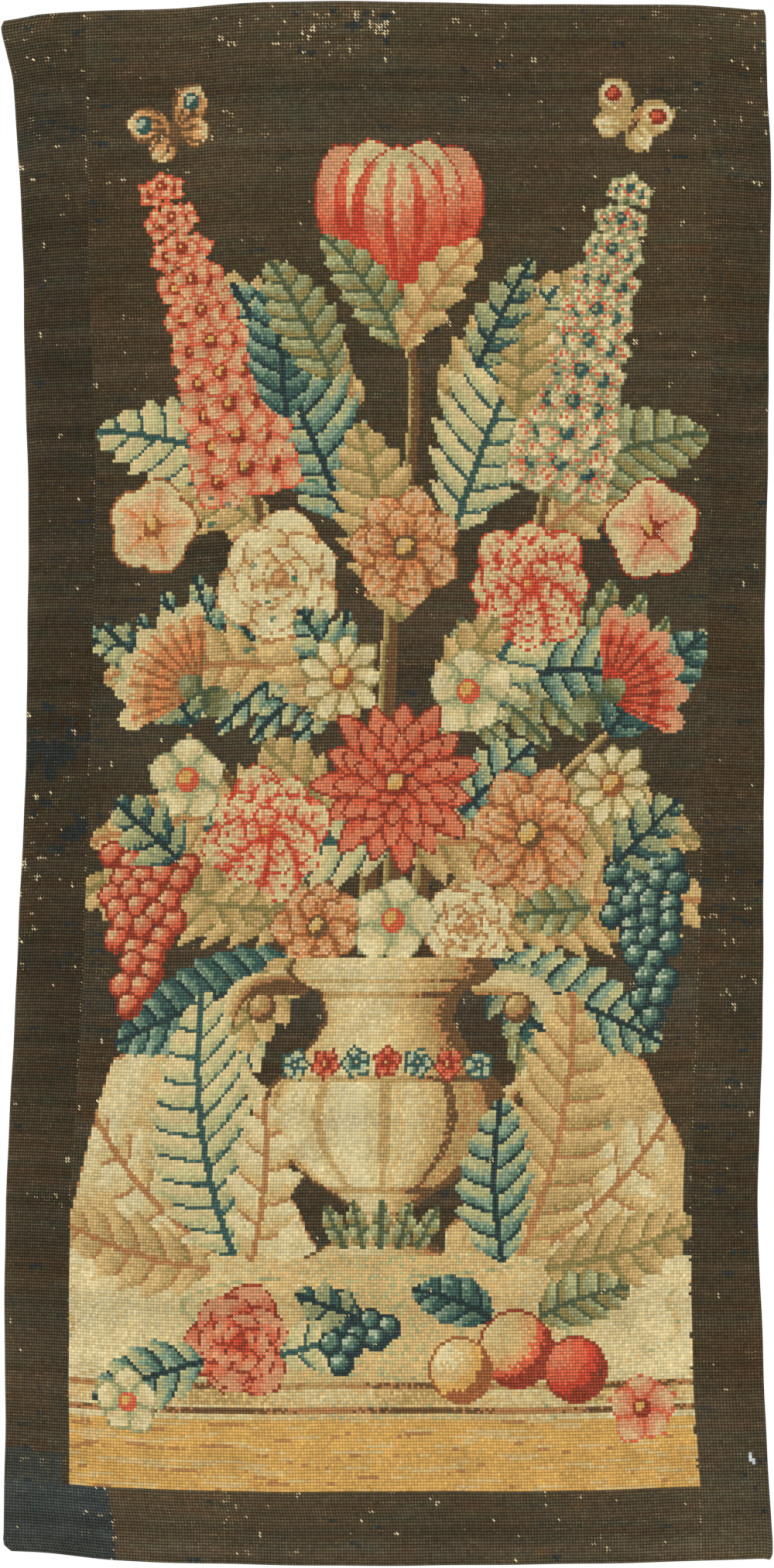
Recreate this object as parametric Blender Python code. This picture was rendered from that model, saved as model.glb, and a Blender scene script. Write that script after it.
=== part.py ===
"""A hung panel of wool needlework: a centre panel with two side strips, a bottom strip and a corner patch
sewn to it, each a piece of stitched canvas with its raw edges turned to the back.

Metres, +Z up. The stitched face looks along -Y, and the plane y = 0 is the wall behind the panel.
The origin is the middle of the top edge. A place on the panel is its distance across, to the right of
the origin, and its distance down from it.
"""

from collections import namedtuple
from math import cos, exp, radians, sin

import bmesh
import bpy

MM = 0.001

CLOTH = 2.4 * MM  # canvas and wool, one layer
TURNED = 4.4 * MM  # where the edge is turned back on itself
HEM = 25 * MM  # width turned back at the panel's outer edges
SEAM_TURN = 12 * MM  # width turned back along a seam
STEP = 1.5 * MM  # the slope from the turned edge down to one layer
CORNER = 6.5 * MM  # reach of the rounded corners
SEAM_GAP = 0.35 * MM  # between the edges of two sewn pieces

UPPER_HEIGHT = 1266 * MM  # from the top edge to the seam above the bottom strip
LOWER_HEIGHT = 64 * MM  # from that seam to the bottom edge
ROW_PITCH = 26 * MM
COLUMN_PITCH = 24 * MM
FITTING_ROUNDS = 8
SLACK = 0.01 * MM

# Usual widths of the pieces
LEFT_WIDTH = 64 * MM
CENTRE_WIDTH = 527 * MM
RIGHT_WIDTH = 52 * MM
PATCH_WIDTH = 91 * MM
BOTTOM_WIDTH = 502 * MM

# Each piece's overall colour: the brown-black ground, the navy patch, and the ground with its flowers
GROUND = (0.070, 0.053, 0.035)
NAVY = (0.026, 0.042, 0.048)
FLOWERED = (0.16, 0.13, 0.085)

# Curves down the panel. The columns are the distance down and the distance across, in mm.
LEFT_EDGE = (
    (17, -327.0),
    (23, -329.3),
    (43, -324.7),
    (71, -318.8),
    (197, -311.5),
    (329, -308.2),
    (470, -305.9),
    (659, -308.6),
    (796, -314.2),
    (954, -322.1),
    (1113, -326.7),
    (1210, -325.4),
    (1307, -327.4),
    (1316, -327.2),
    (1322, -320.5),
)
LEFT_SEAM = (
    (0, -257.0),
    (197, -255.0),
    (329, -251.0),
    (442, -248.8),
    (659, -254.0),
    (824, -259.0),
    (1049, -270.6),
    (1266, -270.8),
)
RIGHT_SEAM = (
    (0, 275.5),
    (224, 277.0),
    (422, 276.0),
    (791, 267.5),
    (956, 262.0),
    (1095, 259.5),
    (1188, 262.0),
    (1268, 267.6),
    (1334, 269.0),
)
RIGHT_EDGE = (
    (5, 320.8),
    (13, 323.4),
    (79, 324.8),
    (127, 327.4),
    (329, 325.6),
    (571, 322.2),
    (765, 321.4),
    (912, 319.5),
    (1042, 316.4),
    (1123, 319.8),
    (1222, 323.8),
    (1297, 327.6),
    (1325, 328.8),
    (1331, 325.8),
)
PATCH_SEAM = ((1262, -237.6), (1284, -236.3), (1294, -233.8), (1331, -231.6))

# Curves across the panel. The columns are the distance across and the distance down, in mm.
TOP_EDGE = (
    (-327, 17.0),
    (-315, 15.0),
    (-294, 11.0),
    (-256, 8.4),
    (-183, 5.7),
    (-130, 2.0),
    (-98, 0.6),
    (0, 0.0),
    (135, 2.5),
    (259, 3.1),
    (291, 4.8),
    (311, 6.5),
    (321, 6.8),
)
LOW_SEAM = (
    (-327, 1260.6),
    (-271, 1264.6),
    (-235, 1267.6),
    (-135, 1270.4),
    (0, 1270.6),
    (133, 1270.2),
    (267, 1266.6),
    (326, 1264.0),
)
BOTTOM_EDGE = (
    (-321, 1321.8),
    (-288, 1323.4),
    (-232, 1330.0),
    (-164, 1332.5),
    (51, 1334.4),
    (221, 1331.4),
    (320, 1328.8),
    (326, 1329.6),
)

# Soft ridges of the hanging cloth: the middle of each in mm across and down, the direction of its crest
# in degrees up from the level, and its half length, half width and height in mm.
Fold = namedtuple("Fold", "across down direction length width height")
FOLDS = (
    Fold(-188, 92, 38, 95, 24, 3.2),
    Fold(-140, 150, 32, 80, 26, 1.8),
    Fold(-254, 150, 88, 110, 22, 2.2),
    Fold(-302, 120, 70, 60, 24, 3.6),
    Fold(-300, 330, 95, 90, 26, 4.2),
    Fold(-298, 560, 86, 90, 25, 3.2),
    Fold(-306, 800, 94, 100, 26, 4.6),
    Fold(-316, 1060, 88, 110, 25, 3.4),
    Fold(-236, 1282, -38, 30, 14, 2.0),
    Fold(-290, 1300, 12, 50, 16, 2.2),
    Fold(0, 620, 90, 420, 150, 4.5),
    Fold(-90, 960, 74, 150, 60, 2.0),
    Fold(120, 330, 104, 160, 55, 2.2),
    Fold(40, 1272, 1, 210, 18, 1.8),
    Fold(-60, 1322, 3, 130, 16, 2.4),
    Fold(180, 1316, -4, 90, 16, 2.0),
    Fold(296, 60, 22, 45, 22, 2.6),
    Fold(304, 200, 96, 80, 24, 3.4),
    Fold(300, 470, 84, 100, 26, 3.0),
    Fold(294, 790, 92, 80, 24, 4.4),
    Fold(288, 1010, 86, 90, 24, 3.2),
    Fold(304, 1230, 98, 70, 24, 3.6),
)


def curve(table):
    """A function that follows the table's points smoothly and runs straight on past its ends."""
    at = [row[0] * MM for row in table]
    value = [row[1] * MM for row in table]
    last = len(table) - 1
    slope = []
    for i in range(last + 1):
        low, high = max(i - 1, 0), min(i + 1, last)
        slope.append((value[high] - value[low]) / (at[high] - at[low]))

    def follow(place):
        if place <= at[0]:
            return value[0] + slope[0] * (place - at[0])
        if place >= at[last]:
            return value[last] + slope[last] * (place - at[last])
        i = next(k for k in range(last) if place <= at[k + 1])
        span = at[i + 1] - at[i]
        t = (place - at[i]) / span
        start = (2 * t + 1) * (1 - t) ** 2 * value[i] + t * (1 - t) ** 2 * span * slope[i]
        end = t * t * (3 - 2 * t) * value[i + 1] + t * t * (t - 1) * span * slope[i + 1]
        return start + end

    return follow


left_edge, left_seam = curve(LEFT_EDGE), curve(LEFT_SEAM)
right_edge, right_seam = curve(RIGHT_EDGE), curve(RIGHT_SEAM)
top_edge, low_seam, bottom_edge = curve(TOP_EDGE), curve(LOW_SEAM), curve(BOTTOM_EDGE)
patch_seam = curve(PATCH_SEAM)


def beside(seam, side):
    """The curve half a gap to one side of a seam: -1 is its left or upper side."""
    return lambda place: seam(place) + side * SEAM_GAP / 2


def ridge(fold, across, down):
    """Height of one soft ridge at a place on the panel."""
    turn = radians(fold.direction)
    x = across - fold.across * MM
    z = fold.down * MM - down
    along = (x * cos(turn) + z * sin(turn)) / (fold.length * MM)
    off = (z * cos(turn) - x * sin(turn)) / (fold.width * MM)
    return fold.height * MM * exp(-along * along - off * off)


def stands_off(across, down):
    """How far the cloth stands off the wall."""
    return sum(ridge(fold, across, down) for fold in FOLDS)


def turned_lines(width):
    """Grid lines at a turned edge of this width: the rounded corner's, where it reaches, and the step's."""
    corner = [CORNER] if width == HEM else []
    return [*corner, width, width + STEP]


def lines(length, pitch, start, end):
    """Grid lines along a length between edges turned back by start and end, with an even run between."""
    first, last = turned_lines(start), [length - step for step in reversed(turned_lines(end))]
    count = max(1, round((last[0] - first[-1]) / pitch))
    run = [first[-1] + (last[0] - first[-1]) * i / count for i in range(1, count)]
    return [0, *first, *run, *last, length]


# A band of rows: the curves above and below it, its usual height, and what is turned at its two ends.
Band = namedtuple("Band", "above below height start end")
UPPER = Band(top_edge, beside(low_seam, -1), UPPER_HEIGHT, HEM, SEAM_TURN)
LOWER = Band(beside(low_seam, 1), bottom_edge, LOWER_HEIGHT, SEAM_TURN, HEM)
# The right strip runs past the low seam uncut.
BESIDE_UPPER = UPPER._replace(below=low_seam)
BESIDE_LOWER = LOWER._replace(above=low_seam)


def band_rows(band):
    """Each row of a band as the band and its share of the way down."""
    return [(band, place / band.height) for place in lines(band.height, ROW_PITCH, band.start, band.end)]


def place_on_panel(left, right, share_across, band, share_down):
    """Where a share across two side curves meets a share down a band, each found from the other in turn."""
    across, down = 0.0, band.above(0.0) + share_down * band.height
    for _ in range(FITTING_ROUNDS):
        low, high = left(down), right(down)
        across = low + share_across * (high - low)
        start, end = band.above(across), band.below(across)
        down = start + share_down * (end - start)
    return across, down


def fabric(name, colour):
    """A matt woollen material."""
    material = bpy.data.materials.new(name)
    material.use_nodes = True
    shader = material.node_tree.nodes["Principled BSDF"]
    shader.inputs["Base Color"].default_value = (*colour, 1)
    shader.inputs["Roughness"].default_value = 0.9
    shader.inputs["Metallic"].default_value = 0.0
    return material


def is_turned(from_edges, turns):
    """True if a point this far from each edge is on one of the widths turned back there."""
    return any(away < turn + SLACK for away, turn in zip(from_edges, turns))


def sewn_piece(name, sides, width, turns, bands, colour):
    """One piece of stitched canvas between two side curves, over one or two bands of rows.

    turns holds the widths turned back at its left, right, top and bottom."""
    columns = lines(width, COLUMN_PITCH, turns[0], turns[1])
    rows = band_rows(bands[0])
    for band in bands[1:]:
        rows += band_rows(band)[1:]
    height = sum(band.height for band in bands)
    last_column, last_row = len(columns) - 1, len(rows) - 1

    bm = bmesh.new()
    thickness = bm.verts.layers.float.new("thickness")
    bmesh.ops.create_grid(bm, x_segments=last_column, y_segments=last_row, size=1)
    for vert in bm.verts:
        from_left = columns[round((vert.co.x + 1) / 2 * last_column)]
        band, share_down = rows[round((1 - vert.co.y) / 2 * last_row)]
        from_top = share_down * band.height + (bands[0].height if band != bands[0] else 0)
        from_edges = (from_left, width - from_left, from_top, height - from_top)
        vert[thickness] = TURNED if is_turned(from_edges, turns) else CLOTH
        across, down = place_on_panel(*sides, from_left / width, band, share_down)
        vert.co = (across, -TURNED - stands_off(across, down), -down)
    back = bmesh.ops.extrude_face_region(bm, geom=bm.faces[:])["geom"]
    for vert in back:
        if isinstance(vert, bmesh.types.BMVert):
            vert.co.y += vert[thickness]
    bmesh.ops.recalc_face_normals(bm, faces=bm.faces[:])

    mesh = bpy.data.meshes.new(name)
    bm.to_mesh(mesh)
    bm.free()
    mesh.materials.append(fabric(name + "_wool", colour))
    bpy.data.collections["needlework_panel"].objects.link(bpy.data.objects.new(name, mesh))


# A piece: its name, the curves at its sides, its usual width, the widths turned back at its left, right,
# top and bottom, the bands of rows it covers, and its colour.
PIECES = (
    (
        "left_strip",
        (left_edge, beside(left_seam, -1)),
        LEFT_WIDTH,
        (HEM, SEAM_TURN, HEM, SEAM_TURN),
        [UPPER],
        GROUND,
    ),
    (
        "centre_panel",
        (beside(left_seam, 1), beside(right_seam, -1)),
        CENTRE_WIDTH,
        (SEAM_TURN, SEAM_TURN, HEM, SEAM_TURN),
        [UPPER],
        FLOWERED,
    ),
    (
        "right_strip",
        (beside(right_seam, 1), right_edge),
        RIGHT_WIDTH,
        (SEAM_TURN, HEM, HEM, HEM),
        [BESIDE_UPPER, BESIDE_LOWER],
        GROUND,
    ),
    (
        "corner_patch",
        (left_edge, beside(patch_seam, -1)),
        PATCH_WIDTH,
        (HEM, SEAM_TURN, SEAM_TURN, HEM),
        [LOWER],
        NAVY,
    ),
    (
        "bottom_strip",
        (beside(patch_seam, 1), beside(right_seam, -1)),
        BOTTOM_WIDTH,
        (SEAM_TURN, SEAM_TURN, SEAM_TURN, HEM),
        [LOWER],
        GROUND,
    ),
)

for old in list(bpy.data.objects):
    bpy.data.objects.remove(old)
bpy.context.scene.collection.children.link(bpy.data.collections.new("needlework_panel"))
for one in PIECES:
    sewn_piece(*one)
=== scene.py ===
"""The looks of a hung panel of old wool needlework: five pieces of stitched canvas sewn together.

Each piece is a thin sheet on its solid's folds. Its stitches are charted one by one, and each stitch is
drawn as a raised cross. A place on the panel is its distance across from the middle and down from the
top, in mm. The chart of the middle piece counts in stitches.
"""

from math import cos, hypot, pi, radians, sin

import bpy
import numpy as np
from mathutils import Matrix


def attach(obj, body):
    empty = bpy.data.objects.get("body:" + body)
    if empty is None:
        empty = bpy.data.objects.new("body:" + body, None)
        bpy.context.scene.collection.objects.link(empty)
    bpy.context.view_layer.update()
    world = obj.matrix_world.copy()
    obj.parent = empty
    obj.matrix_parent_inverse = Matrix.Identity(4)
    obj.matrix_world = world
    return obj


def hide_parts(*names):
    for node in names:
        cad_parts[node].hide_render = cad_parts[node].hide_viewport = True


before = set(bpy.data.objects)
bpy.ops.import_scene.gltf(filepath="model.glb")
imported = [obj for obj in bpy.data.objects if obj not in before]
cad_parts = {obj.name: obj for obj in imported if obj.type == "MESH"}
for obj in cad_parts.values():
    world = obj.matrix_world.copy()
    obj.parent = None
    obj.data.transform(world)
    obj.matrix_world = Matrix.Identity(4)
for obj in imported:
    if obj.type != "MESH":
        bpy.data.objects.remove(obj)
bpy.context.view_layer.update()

MM = 0.001

CLOTH = 2.4  # canvas and wool, one layer, in mm as are the next ones
TURNED = 4.4  # where the edge is turned back on itself
HEM = 25  # width turned back at the panel's outer edges
SEAM_TURN = 12  # width turned back along a seam
STEP = 1.5  # the slope from the turned edge down to one layer
HEM_ROUND = 2.2  # how far in from a hem the fold's rounding reaches
SEAM_ROUND = 0.5
HEM_SINK, SEAM_SINK = 0.5, 0.08  # how far the front sinks at its edge, as a share of the thickness
SEAM_OVERLAP = 0.12  # how far the pieces' edges press into each other at a seam
SLACK = 0.05  # how far past the turned edge the slope begins
FITTING_ROUNDS = 8

# Curves down the panel. The columns are the distance down and the distance across, in mm.
LEFT_EDGE = (
    (17, -327.0), (23, -329.3), (43, -324.7), (71, -318.8), (197, -311.5), (329, -308.2), (470, -305.9),
    (659, -308.6), (796, -314.2), (954, -322.1), (1113, -326.7), (1210, -325.4), (1307, -327.4),
    (1316, -327.2), (1322, -320.5),
)
LEFT_SEAM = (
    (0, -257.0), (197, -255.0), (329, -251.0), (442, -248.8), (659, -254.0), (824, -259.0), (1049, -270.6),
    (1266, -270.8),
)
RIGHT_SEAM = (
    (0, 275.5), (224, 277.0), (422, 276.0), (791, 267.5), (956, 262.0), (1095, 259.5), (1188, 262.0),
    (1268, 267.6), (1334, 269.0),
)
RIGHT_EDGE = (
    (5, 320.8), (13, 323.4), (79, 324.8), (127, 327.4), (329, 325.6), (571, 322.2), (765, 321.4),
    (912, 319.5), (1042, 316.4), (1123, 319.8), (1222, 323.8), (1297, 327.6), (1325, 328.8), (1331, 325.8),
)
PATCH_SEAM = ((1262, -237.6), (1284, -236.3), (1294, -233.8), (1331, -231.6))

# Curves across the panel. The columns are the distance across and the distance down, in mm.
TOP_EDGE = (
    (-327, 17.0), (-315, 15.0), (-294, 11.0), (-256, 8.4), (-183, 5.7), (-130, 2.0), (-98, 0.6), (0, 0.0),
    (135, 2.5), (259, 3.1), (291, 4.8), (311, 6.5), (321, 6.8),
)
LOW_SEAM = (
    (-327, 1260.6), (-271, 1264.6), (-235, 1267.6), (-135, 1270.4), (0, 1270.6), (133, 1270.2),
    (267, 1266.6), (326, 1264.0),
)
BOTTOM_EDGE = (
    (-321, 1321.8), (-288, 1323.4), (-232, 1330.0), (-164, 1332.5), (51, 1334.4), (221, 1331.4),
    (320, 1328.8), (326, 1329.6),
)

# Soft ridges of the hanging cloth: the middle of each in mm across and down, the direction of its crest
# in degrees up from the level, and its half length, half width and height in mm.
FOLDS = (
    (-188, 92, 38, 95, 24, 3.2), (-140, 150, 32, 80, 26, 1.8), (-254, 150, 88, 110, 22, 2.2),
    (-302, 120, 70, 60, 24, 3.6), (-300, 330, 95, 90, 26, 4.2), (-298, 560, 86, 90, 25, 3.2),
    (-306, 800, 94, 100, 26, 4.6), (-316, 1060, 88, 110, 25, 3.4), (-236, 1282, -38, 30, 14, 2.0),
    (-290, 1300, 12, 50, 16, 2.2), (0, 620, 90, 420, 150, 4.5), (-90, 960, 74, 150, 60, 2.0),
    (120, 330, 104, 160, 55, 2.2), (40, 1272, 1, 210, 18, 1.8), (-60, 1322, 3, 130, 16, 2.4),
    (180, 1316, -4, 90, 16, 2.0), (296, 60, 22, 45, 22, 2.6), (304, 200, 96, 80, 24, 3.4),
    (300, 470, 84, 100, 26, 3.0), (294, 790, 92, 80, 24, 4.4), (288, 1010, 86, 90, 24, 3.2),
    (304, 1230, 98, 70, 24, 3.6),
)


def curve(table):
    """A function that follows the table's points smoothly and runs straight on past its ends."""
    at, value = np.array(table, float).T
    last = len(table) - 1
    low, high = np.maximum(np.arange(last + 1) - 1, 0), np.minimum(np.arange(last + 1) + 1, last)
    slope = (value[high] - value[low]) / (at[high] - at[low])

    def follow(place):
        i = (np.searchsorted(at, place) - 1).clip(0, last - 1)
        span = at[i + 1] - at[i]
        t = (place - at[i]) / span
        start = (2 * t + 1) * (1 - t) ** 2 * value[i] + t * (1 - t) ** 2 * span * slope[i]
        end = t * t * (3 - 2 * t) * value[i + 1] + t * t * (t - 1) * span * slope[i + 1]
        past = np.where(place < at[0], value[0] + slope[0] * (place - at[0]), start + end)
        return np.where(place > at[last], value[last] + slope[last] * (place - at[last]), past)

    return follow


left_edge, left_seam, right_seam, right_edge = map(curve, (LEFT_EDGE, LEFT_SEAM, RIGHT_SEAM, RIGHT_EDGE))
top_edge, low_seam, bottom_edge, patch_seam = map(curve, (TOP_EDGE, LOW_SEAM, BOTTOM_EDGE, PATCH_SEAM))


def stands_off(across, down):
    """How far the cloth stands off the wall, in mm."""
    total = 0.0
    for at_across, at_down, direction, length, width, height in FOLDS:
        turn = radians(direction)
        x, z = across - at_across, at_down - down
        along = (x * cos(turn) + z * sin(turn)) / length
        off = (z * cos(turn) - x * sin(turn)) / width
        total = total + height * np.exp(-along * along - off * off)
    return total


def on_panel(left, right, above, below, share_across, share_down):
    """Where shares across two side curves and down between two others meet, each found from the other."""
    across = np.zeros(np.broadcast(share_across, share_down).shape)
    down = above(across) + share_down * (below(across) - above(across))
    for _ in range(FITTING_ROUNDS):
        low, high = left(down), right(down)
        across = low + share_across * (high - low)
        start, end = above(across), below(across)
        down = start + share_down * (end - start)
    return across, down


# The middle piece's chart, in stitches
ACROSS, DOWN = 212, 480

# The wools' colours as seen, red green blue from 0 to 255
WOOLS = {
    "ground": (74, 65, 49), "umber": (108, 80, 52), "rust": (150, 92, 55), "clay": (172, 122, 76),
    "apricot": (204, 152, 98), "orange": (202, 126, 76), "ochre": (204, 159, 87), "gold": (176, 146, 91),
    "straw": (203, 172, 114), "sand": (189, 158, 103), "cream": (206, 186, 134), "ivory": (215, 199, 151),
    "maroon": (142, 62, 44), "red": (186, 70, 50), "coral": (200, 94, 64), "salmon": (202, 118, 84),
    "pink": (204, 144, 104), "blush": (206, 166, 120), "navy": (48, 62, 60), "teal": (62, 88, 80),
    "sea": (94, 120, 100), "mist": (132, 152, 125), "sky": (166, 177, 148), "pine": (84, 94, 66),
    "moss": (118, 118, 76), "olive": (140, 126, 76), "sage": (144, 146, 104), "celadon": (170, 168, 119),
    "willow": (189, 181, 129),
}
CODES = {name: code for code, name in enumerate(WOOLS)}

ROW, COLUMN = np.mgrid[0:DOWN, 0:ACROSS] + 0.5
UNEVEN = np.random.default_rng(11).uniform(-1, 1, (DOWN, ACROSS))
# The same unevenness in runs of nine stitches along the rows
STREAKS = UNEVEN[ROW.astype(int), ((COLUMN + 60 * np.sin(7 * ROW)) // 9).astype(int) % ACROSS]
chart = np.zeros((DOWN, ACROSS), int)
ALL_CELLS = np.s_[:, :]
LIGHTEST = 0.999  # a shade just inside its last wool

# A kind of leaf: its wools from vein to light, its lobes' depth, the stitches between its veins, and where
# it is fullest, below 1 being nearer its tip
LEAVES = {
    "sea": ("navy teal sea mist celadon willow", 0.20, 8, 0.95),
    "pale": ("teal sea celadon willow cream cream", 0.24, 8, 0.95),
    "blue": ("navy teal teal sea mist", 0.12, 7, 0.90),
    "gold": ("olive olive gold sand straw", 0.26, 8, 1.0),
    "tan": ("clay olive gold sand straw straw", 0.30, 9, 1.0),
    "moss": ("pine moss olive sage celadon", 0.20, 7, 0.9),
    "vine": ("navy teal sage celadon", 0.40, 9, 0.8),
    "acanthus": ("clay gold straw cream ivory ivory", 0.38, 11, 0.95),
}

# A kind of bloom: its wools from base to rim, its rings of petals, where a petal is fullest, its streaks,
# and its heart. A ring is its number of petals, their reach and their width as shares of the radius.
BLOOMS = {
    "rose": ("maroon red coral salmon pink",
        ((6, 1.0, 0.44), (5, 0.78, 0.36), (5, 0.54, 0.26), (3, 0.32, 0.18)), 1.7, 0, (0.11, "maroon red")),
    "peony": ("red coral salmon pink blush cream",
        ((8, 1.0, 0.34), (7, 0.80, 0.30), (6, 0.60, 0.24), (5, 0.38, 0.18)),
        1.8, 3, (0.12, "red coral ochre")),
    "pale_rose": ("clay sand straw cream ivory",
        ((6, 1.0, 0.44), (5, 0.76, 0.36), (5, 0.50, 0.26), (3, 0.28, 0.18)), 1.7, 0, (0.12, "clay apricot")),
    "dahlia": ("maroon red coral salmon",
        ((15, 1.0, 0.15), (13, 0.76, 0.13), (10, 0.52, 0.11), (6, 0.3, 0.09)),
        1.2, 0, (0.13, "maroon ochre straw")),
    "orange": ("rust clay orange apricot blush",
        ((7, 1.0, 0.34), (6, 0.68, 0.26)), 1.6, 3, (0.18, "umber ochre straw")),
    "daisy": ("olive sand cream ivory", ((9, 1.0, 0.21),), 1.6, 0, (0.24, "rust ochre straw")),
    "floret": ("coral salmon pink blush", ((5, 1.0, 0.42),), 1.5, 0, (0.22, "maroon ochre")),
    "bluet": ("teal sea sky willow", ((5, 1.0, 0.42),), 1.5, 0, (0.2, "teal cream")),
    "snow": ("sage celadon cream ivory", ((5, 1.0, 0.42),), 1.5, 0, (0.24, "coral ochre")),
    "ember": ("maroon red coral salmon", ((5, 1.0, 0.42),), 1.5, 0, (0.2, "maroon apricot")),
    "bell": ("sage coral blush cream ivory", ((5, 1.0, 0.40),), 1.6, 3, (0.2, "teal sage")),
}


def near(x, y, reach):
    """The cells within reach of a point, and how far each lies to its right and below it."""
    top, left = max(0, int(y - reach)), max(0, int(x - reach))
    bottom, right = min(DOWN, int(y + reach) + 2), min(ACROSS, int(x + reach) + 2)
    spot = np.s_[top : max(top, bottom), left : max(left, right)]
    return spot, COLUMN[spot] - x, ROW[spot] - y


def lay(spot, mask, shade, wools, unevenness=0.08):
    """Stitches the mask in the wools, from the first to the last as the shade runs from 0 to 1."""
    codes = np.array([CODES[name] for name in wools.split()])
    uneven = np.clip(shade, 0, LIGHTEST) + UNEVEN[spot] * unevenness
    pick = (uneven * len(codes)).astype(int).clip(0, len(codes) - 1)
    chart[spot] = np.where(mask, codes[pick], chart[spot])


def turned(dx, dy, turn):
    """How far cells lie along and across a direction, in degrees clockwise from straight up."""
    a = radians(turn)
    return dx * sin(a) - dy * cos(a), dx * cos(a) + dy * sin(a)


def part_of(value):
    return value - np.floor(value)


def leaf(x, y, turn, length, width, kind, bend=0.0):
    """One leaf from its stalk to its tip, its midrib bending sideways by a share of its length."""
    wools, depth, spacing, fullest = LEAVES[kind]
    spot, dx, dy = near(x, y, length * (1.1 + abs(bend)) + width)
    along, across = turned(dx, dy, turn)
    across = across - bend * length * (along / length).clip(0, 1) ** 2
    t = (along / length).clip(0.001, 0.999)
    blade = width * np.sin(pi * t**fullest) ** 0.6
    side = across > 0
    reach = (np.abs(across) / (blade + 0.01)).clip(0, 2)
    arch = along - 0.30 * np.abs(across) - 0.30 * blade * reach**2
    rib = part_of(arch / spacing + 0.4 * side)
    lobed = 1 - depth * np.abs(np.cos(pi * rib)) ** 1.5
    inside = (reach < lobed) & (along > 0) & (along < length)
    shade = 0.36 + 0.52 * rib**0.7 - 0.10 * side + 0.14 * (reach > 0.5) * (rib > 0.5) - 0.12 * (1 - t)
    shade = np.where(rib * spacing < 1.15, 0.10 + 0.3 * (reach > 0.8), shade)
    shade = np.where(np.abs(across) < 0.7 + 0.02 * width, 0.0, shade)
    lay(spot, inside, shade, wools)


def petal(x, y, turn, length, width, wools, fullest=1.5, streaks=0, rim=True):
    """One petal from a flower's middle to its tip, darker at its base and light along its rim."""
    spot, dx, dy = near(x, y, length + width + 2)
    along, across = turned(dx, dy, turn)
    t = (along / length).clip(0.001, 0.999)
    half = width * np.sin(pi * t**fullest) ** 0.6
    reach = np.abs(across) / (half + 0.01)
    if rim:
        edge = (np.abs(across) < half + 0.9) & (along > -0.5) & (along < length + 0.9)
        lay(spot, edge, np.zeros_like(t), wools.split()[0])
    shade = 0.10 + 0.95 * t**1.2 - 0.22 * reach**2 + 0.12 * (across < 0)
    if streaks:
        shade = shade - 0.40 * (part_of(streaks * across / (half + 0.01) / 2 + 0.5) < 0.34) * (t < 0.9)
    lay(spot, (reach < 1) & (along > 0) & (along < length), shade.clip(0.12), wools)


def ball(x, y, radius, wools):
    """A round berry, grape or fruit lit from the upper left, with a dark rim."""
    spot, dx, dy = near(x, y, radius + 2)
    away = np.hypot(dx, dy) / radius
    lit = 0.62 - 0.55 * (dx + dy) / (radius * 1.5) - 0.35 * away**2
    lay(spot, away < 1 + 0.9 / radius, np.zeros_like(away), wools.split()[0])
    lay(spot, away < 1, lit.clip(0.1), wools)


def bloom(x, y, radius, kind, turn=0):
    """A flower of rings of petals, drawn from the outer ring in."""
    wools, rings, fullest, streaks, heart = BLOOMS[kind]
    for number, (count, reach, wide) in enumerate(rings):
        for k in range(count):
            way = turn + 360 * (k + 0.5 * (number % 2)) / count
            sway = 1 + 0.07 * sin(3.1 * k + number + x)
            petal(x, y, way, radius * reach * sway, radius * wide, wools, fullest, streaks)
    ball(x, y, radius * heart[0], heart[1])


def smooth_line(points):
    """Points along a smooth line through the given ones, about half a stitch apart."""
    path = np.array([points[0], *points, points[-1]], float)
    out = []
    for p0, p1, p2, p3 in zip(path, path[1:], path[2:], path[3:]):
        for t in np.linspace(0, 1, int(hypot(*(p2 - p1)) * 2) + 2, endpoint=False):
            square = (2 * p0 - 5 * p1 + 4 * p2 - p3) * t * t
            out.append(0.5 * (2 * p1 + (p2 - p0) * t + square + (3 * p1 - p0 - 3 * p2 + p3) * t**3))
    return out


def stem(points, width, wools, taper=0.6):
    """A stalk along a smooth line, light on its left."""
    line = smooth_line(points)
    for i, (x, y) in enumerate(line):
        wide = width * (1 - taper * i / len(line)) / 2 + 0.35
        spot, dx, dy = near(x, y, wide + 1)
        lay(spot, np.hypot(dx, dy) < wide, 0.5 - 0.45 * (dx + dy) / wide, wools, 0.05)


def rib_points(x, y, turn, length, bend, count):
    """Points along a rib that bends sideways by a share of its length."""
    a = radians(turn)
    points = []
    for i in range(count + 1):
        t = i / count
        side = bend * length * t * t
        points.append((x + length * t * sin(a) + side * cos(a), y - length * t * cos(a) + side * sin(a)))
    return points


def frond(x, y, turn, length, spread, kind, pairs=8, bend=0.2):
    """A feathered leaf: pairs of leaflets along a bending rib."""
    rib = rib_points(x, y, turn, length, bend, pairs)
    for i in range(1, pairs + 1):
        t = i / pairs
        size = spread * sin(pi * (0.18 + 0.72 * t)) ** 0.8
        lean = turn + 60 * bend * t
        for side in (-1, 1):
            leaf(*rib[i - 1], lean + side * (62 - 22 * t), size, size * 0.17 + 0.8, kind, 0.12 * side)
    leaf(*rib[-1], turn + 70 * bend, spread * 0.5, spread * 0.12 + 1, kind)
    stem(rib, 2.2, " ".join(LEAVES[kind][0].split()[:2]), 0.5)


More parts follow.
